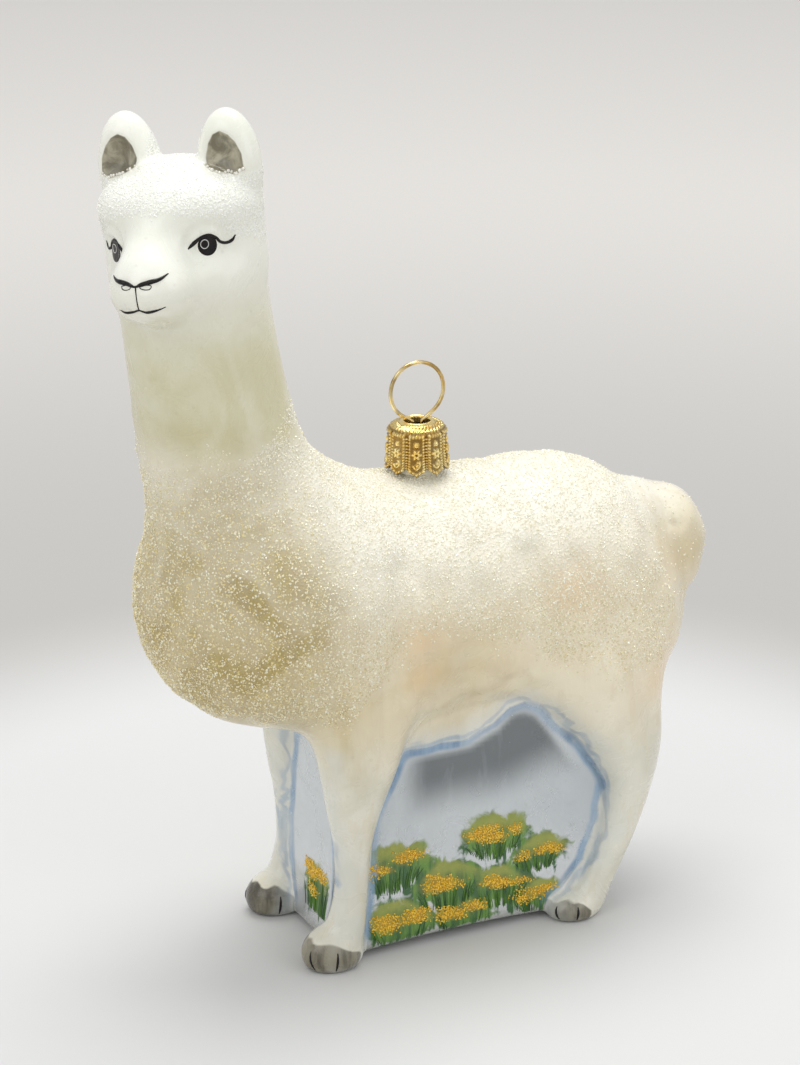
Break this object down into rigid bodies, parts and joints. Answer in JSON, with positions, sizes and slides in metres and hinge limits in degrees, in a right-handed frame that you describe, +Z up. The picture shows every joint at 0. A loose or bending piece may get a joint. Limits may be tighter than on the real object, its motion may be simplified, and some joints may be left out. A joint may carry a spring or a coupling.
{
  "type": "glass llama ornament",
  "caption": "Blown-glass tree ornament of a standing llama, with a stamped crown cap and a wire hanging ring.",
  "frame": {"origin": "on the floor, in the middle of the box round the llama", "axes": "+Z up; the llama's body faces -Y and its left side is +X"},
  "size_m": [0.0392, 0.102, 0.1353],
  "materials": {
    "glass_body": "blown glass painted pearly cream white, glossy",
    "hoof_paint": "glass with a thin wash of grey paint",
    "eye_paint": "glossy black enamel on glass",
    "panel_glass": "silvered glass with a pale blue lacquer and a painted meadow",
    "cap_gold": "thin stamped metal, bright gold",
    "wire_gold": "bright gold spring wire"
  },
  "bodies": {
    "glass": {"head": "glass_body", "ear_left": "glass_body", "ear_right": "glass_body", "eye_left": "eye_paint", "eye_right": "eye_paint", "neck": "glass_body", "trunk": "glass_body", "tail": "glass_body", "leg_front_left": "glass_body", "leg_front_right": "glass_body", "leg_hind_left": "glass_body", "leg_hind_right": "glass_body", "hoof_front_left": "hoof_paint", "hoof_front_right": "hoof_paint", "hoof_hind_left": "hoof_paint", "hoof_hind_right": "hoof_paint", "panel_block": "panel_glass", "pike": "glass_body"},
    "cap": {"cap": "cap_gold"},
    "hanger": {"hanger": "wire_gold"}
  },
  "joints": [
    {"name": "cap_lift", "type": "slide", "parent": "glass", "child": "cap", "axis": [0, 0, 1], "range_m": [0, 0.022]},
    {"name": "ring_lean", "type": "hinge", "parent": "cap", "child": "hanger", "pos_m": [0, 0.00084, 0.0826], "axis": [0, 1, 0], "range_deg": [-8, 8]}
  ]
}
